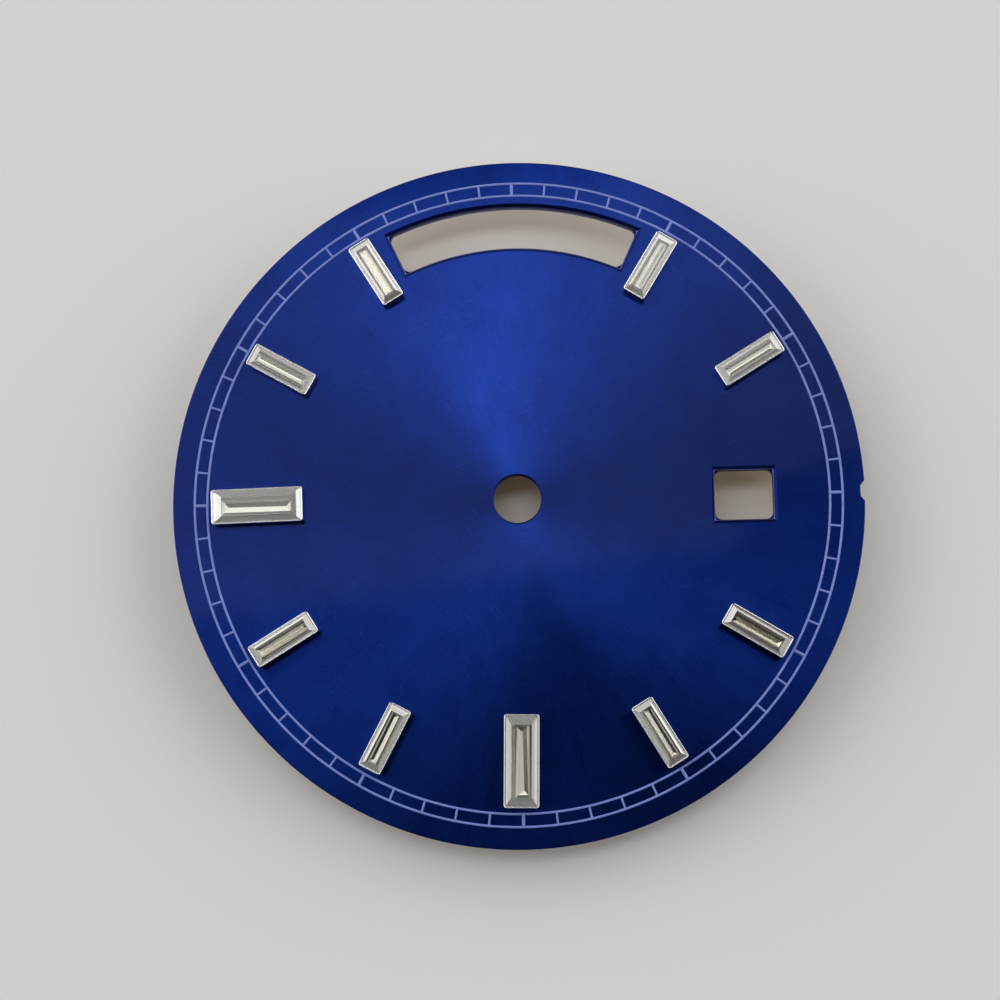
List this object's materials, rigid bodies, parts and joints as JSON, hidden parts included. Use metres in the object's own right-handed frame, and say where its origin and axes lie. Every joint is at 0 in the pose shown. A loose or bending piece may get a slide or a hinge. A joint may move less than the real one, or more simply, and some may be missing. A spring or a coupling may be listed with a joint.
{
  "type": "watch dial",
  "caption": "Round lacquered wristwatch dial with a printed minute track, stone-set hour markers, a day window, a date window and two feet on its back.",
  "frame": {"origin": "on the centre hole's axis, in the plane of the dial's back", "axes": "+Z out of the dial's face, +Y to 12 o'clock, +X to 3 o'clock"},
  "size_m": [0.029, 0.029, 0.0031],
  "materials": {
    "lacquered_plate": "blue sunburst lacquer over a radially brushed brass blank, bare brass on the back",
    "printed_ink": "pad-printed pale blue ink, slightly raised",
    "plated_tray": "polished bright plating",
    "clear_stone": "faceted clear stone with a foiled back",
    "copper_foot": "drawn copper wire, brazed"
  },
  "bodies": {
    "root": {"dial_plate": "lacquered_plate", "minute_track": "printed_ink", "dial_foot_right": "copper_foot", "dial_foot_left": "copper_foot", "marker_tray_1": "plated_tray", "marker_stone_1": "clear_stone", "marker_tray_2": "plated_tray", "marker_stone_2": "clear_stone", "marker_tray_4": "plated_tray", "marker_stone_4": "clear_stone", "marker_tray_5": "plated_tray", "marker_stone_5": "clear_stone", "marker_tray_6": "plated_tray", "marker_stone_6": "clear_stone", "marker_tray_7": "plated_tray", "marker_stone_7": "clear_stone", "marker_tray_8": "plated_tray", "marker_stone_8": "clear_stone", "marker_tray_9": "plated_tray", "marker_stone_9": "clear_stone", "marker_tray_10": "plated_tray", "marker_stone_10": "clear_stone", "marker_tray_11": "plated_tray", "marker_stone_11": "clear_stone"}
  },
  "joints": []
}
